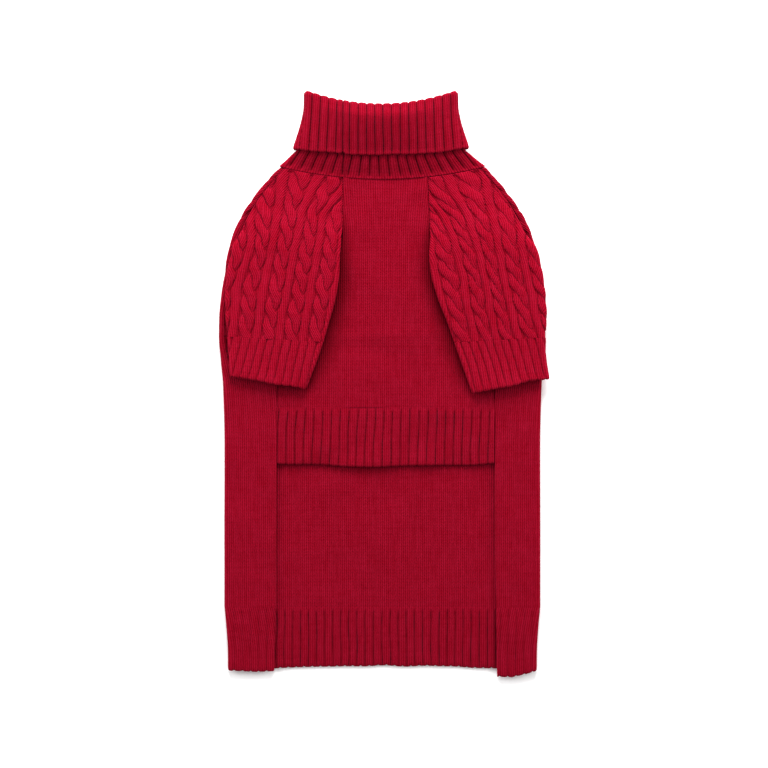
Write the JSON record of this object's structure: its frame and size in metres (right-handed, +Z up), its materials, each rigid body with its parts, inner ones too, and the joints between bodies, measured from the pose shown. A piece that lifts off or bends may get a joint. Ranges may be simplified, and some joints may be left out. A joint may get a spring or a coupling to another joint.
{
  "type": "dog sweater",
  "caption": "Knitted roll-neck dog sweater laid flat belly side up, with cabled raglan sleeves, ribbed cuffs and collar, a short ribbed belly and a longer ribbed back.",
  "frame": {"origin": "on the surface the sweater lies on, under the middle of the laid garment", "axes": "+Z up, away from the surface; +Y towards the collar; +X to the right as seen from above; the belly side faces up"},
  "size_m": [0.2537, 0.4499, 0.0132],
  "materials": {
    "plain_knit": "plain knit, fine wales, soft matt wool",
    "rib_knit": "wide rib knit, soft matt wool",
    "cable_knit": "rope cables between narrow ribs, soft matt wool"
  },
  "bodies": {
    "root": {"back_panel": "cable_knit", "back_hem": "rib_knit", "chest_panel": "plain_knit", "belly_hem": "rib_knit", "sleeve_left": "cable_knit", "sleeve_right": "cable_knit", "cuff_left": "rib_knit", "cuff_right": "rib_knit", "collar": "rib_knit"}
  },
  "joints": []
}
